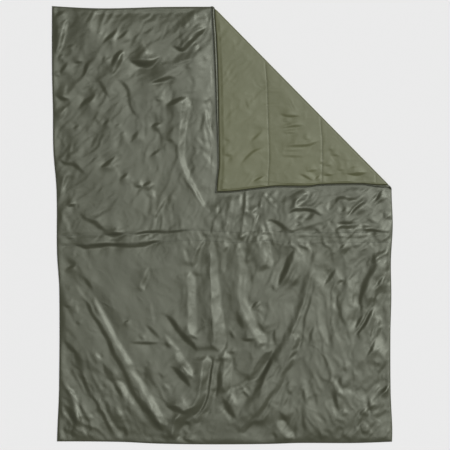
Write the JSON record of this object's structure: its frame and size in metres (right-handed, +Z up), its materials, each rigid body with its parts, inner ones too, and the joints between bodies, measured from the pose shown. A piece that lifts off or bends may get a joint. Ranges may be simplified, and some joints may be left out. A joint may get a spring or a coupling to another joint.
{
  "type": "insulated camping blanket",
  "caption": "Quilted nylon camping blanket laid flat, one top corner turned over so that its lighter sewn lining shows.",
  "frame": {"origin": "on the floor under the middle of the blanket as it lies", "axes": "+X to the right and +Y to the head end as seen from above, +Z up from the floor"},
  "size_m": [1.5005, 1.93, 0.0221],
  "materials": {
    "shell_cloth": "dark olive-grey nylon, satin sheen, loose and creased",
    "lining_cloth": "lighter matte olive nylon, softly creased, sewn in channels"
  },
  "bodies": {
    "root": {"shell": "shell_cloth", "lining": "lining_cloth"}
  },
  "joints": []
}
